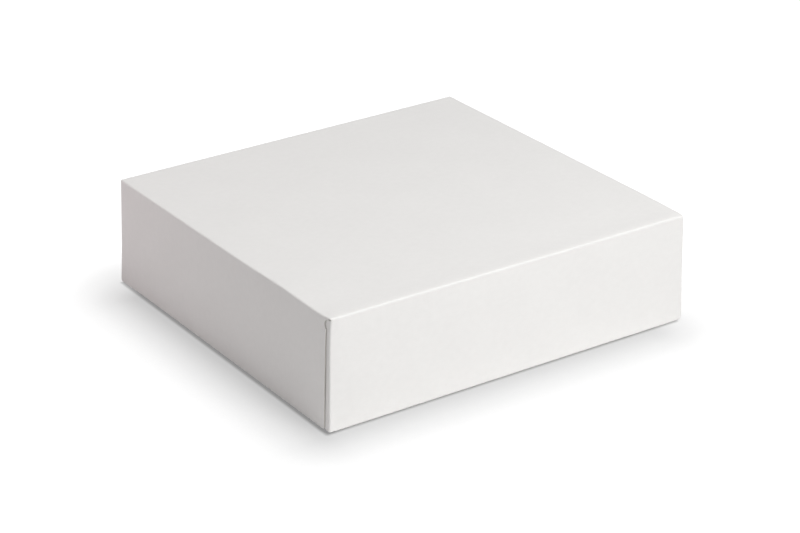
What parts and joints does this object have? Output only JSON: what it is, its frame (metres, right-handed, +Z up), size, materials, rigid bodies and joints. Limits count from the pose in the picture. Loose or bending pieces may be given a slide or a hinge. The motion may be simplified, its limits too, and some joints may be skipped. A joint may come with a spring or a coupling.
{
  "type": "cake box",
  "caption": "Low square paperboard cake box: glued-corner tray with a hinged lid whose front and side flaps hang outside the tray.",
  "frame": {"origin": "centre of the tray's underside, on the surface the box stands on", "axes": "+X along the front from left to right, +Y to the back, where the lid's hinge is, +Z up"},
  "size_m": [0.2367, 0.2335, 0.0659],
  "materials": {
    "tray_board": "white coated paperboard, satin outside, bare white inside",
    "lid_board": "white coated paperboard, satin outside, bare white inside"
  },
  "bodies": {
    "tray": {"bottom_panel": "tray_board", "front_wall": "tray_board", "back_wall": "tray_board", "left_wall": "tray_board", "right_wall": "tray_board", "front_left_tab": "tray_board", "front_right_tab": "tray_board", "rear_left_tab": "tray_board", "rear_right_tab": "tray_board"},
    "lid": {"lid_top": "lid_board"},
    "front_cover": {"front_flap": "lid_board", "left_ear": "lid_board", "right_ear": "lid_board"},
    "left_cover": {"left_flap": "lid_board"},
    "right_cover": {"right_flap": "lid_board"}
  },
  "joints": [
    {"name": "lid_hinge", "type": "hinge", "parent": "tray", "child": "lid", "pos_m": [0, 0.1158, 0.0659], "axis": [-1, 0, 0], "range_deg": [0, 179]},
    {"name": "front_flap_hinge", "type": "hinge", "parent": "lid", "child": "front_cover", "pos_m": [0, -0.1167, 0.0659], "axis": [-1, 0, 0], "range_deg": [0, 90]},
    {"name": "left_flap_hinge", "type": "hinge", "parent": "lid", "child": "left_cover", "pos_m": [-0.1167, 0, 0.0659], "axis": [0, 1, 0], "range_deg": [0, 87.5]},
    {"name": "right_flap_hinge", "type": "hinge", "parent": "lid", "child": "right_cover", "pos_m": [0.1167, 0, 0.0659], "axis": [0, -1, 0], "range_deg": [0, 89.6]}
  ]
}
